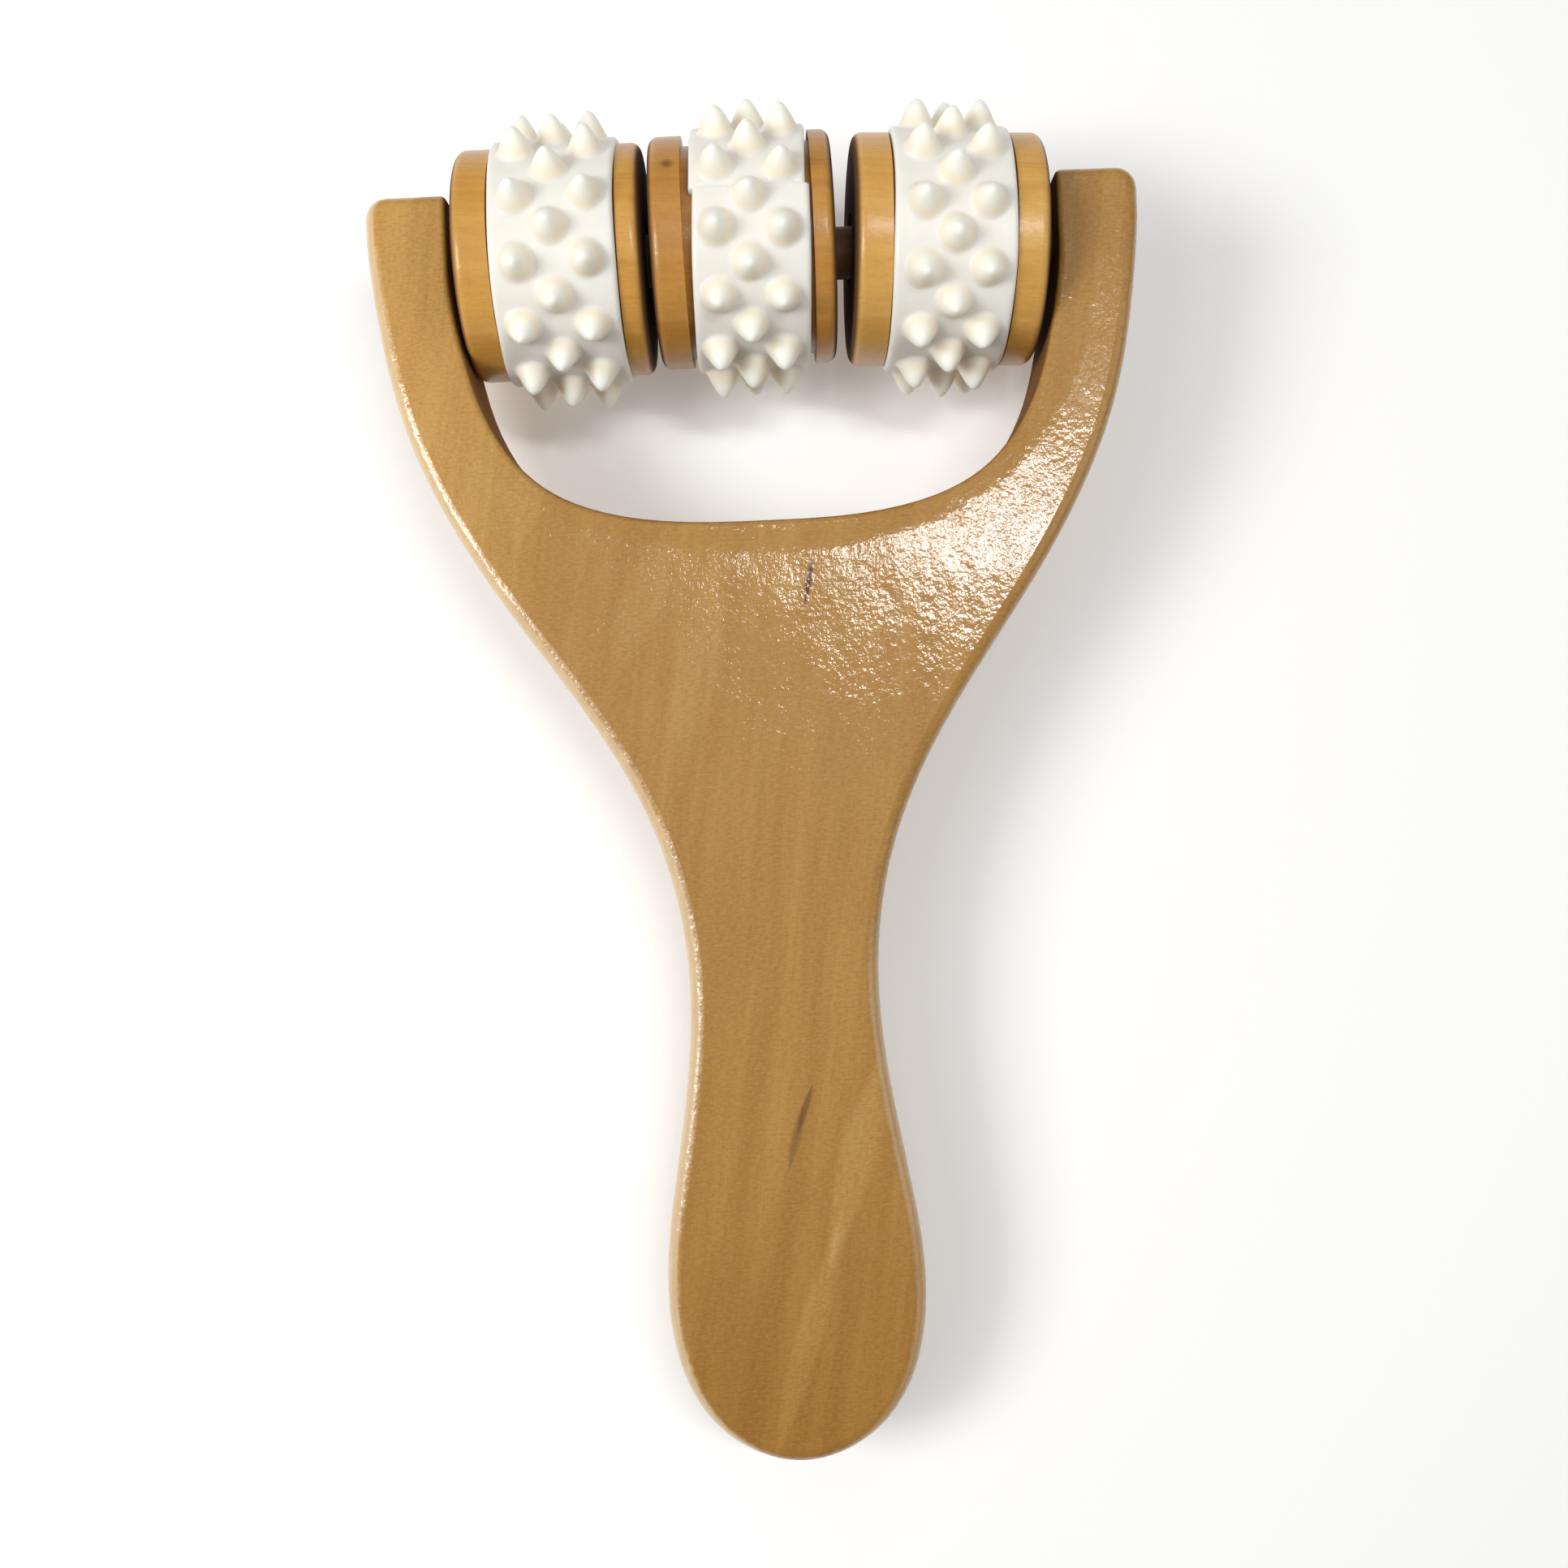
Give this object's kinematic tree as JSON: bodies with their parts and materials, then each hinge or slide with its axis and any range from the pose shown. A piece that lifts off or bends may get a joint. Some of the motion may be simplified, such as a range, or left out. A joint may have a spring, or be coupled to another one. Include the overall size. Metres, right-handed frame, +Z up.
{
  "type": "foot massage roller",
  "caption": "Hand-held wooden massager: a flat paddle grip widens into a fork that holds turned wooden rollers with soft spiked bands, spinning side by side on a dowel axle.",
  "frame": {"origin": "on the table under the middle of the tool's length and width, as it lies at rest on its spikes and the end of its handle", "axes": "+Z up, +Y from the end of the handle towards the fork and rollers, +X along the axle to the right seen from above"},
  "size_m": [0.119, 0.2113, 0.0453],
  "materials": {
    "handle_wood": "varnished golden-tan softwood, satin gloss",
    "roller_wood": "turned and varnished, warm orange-tan",
    "dowel_wood": "plain birch dowel, matt",
    "band_rubber": "warm white moulded rubber, matt"
  },
  "bodies": {
    "handle": {"fork_handle": "handle_wood", "axle_dowel": "dowel_wood"},
    "roller_left": {"roller_core_left": "roller_wood", "spiked_band_left": "band_rubber"},
    "roller_middle": {"roller_core_middle": "roller_wood", "spiked_band_middle": "band_rubber"},
    "roller_right": {"roller_core_right": "roller_wood", "spiked_band_right": "band_rubber"}
  },
  "joints": [
    {"name": "roller_left_spin", "type": "hinge", "parent": "handle", "child": "roller_left", "pos_m": [-0.03075, 0.08237, 0.0226], "axis": [1, 0.0052, 0.0004], "continuous": true},
    {"name": "roller_middle_spin", "type": "hinge", "parent": "handle", "child": "roller_middle", "pos_m": [-0.00145, 0.08322, 0.02266], "axis": [1, 0.007, 0.0005], "continuous": true},
    {"name": "roller_right_spin", "type": "hinge", "parent": "handle", "child": "roller_right", "pos_m": [0.02975, 0.08198, 0.02257], "axis": [0.9991, -0.033, -0.0269], "continuous": true}
  ]
}
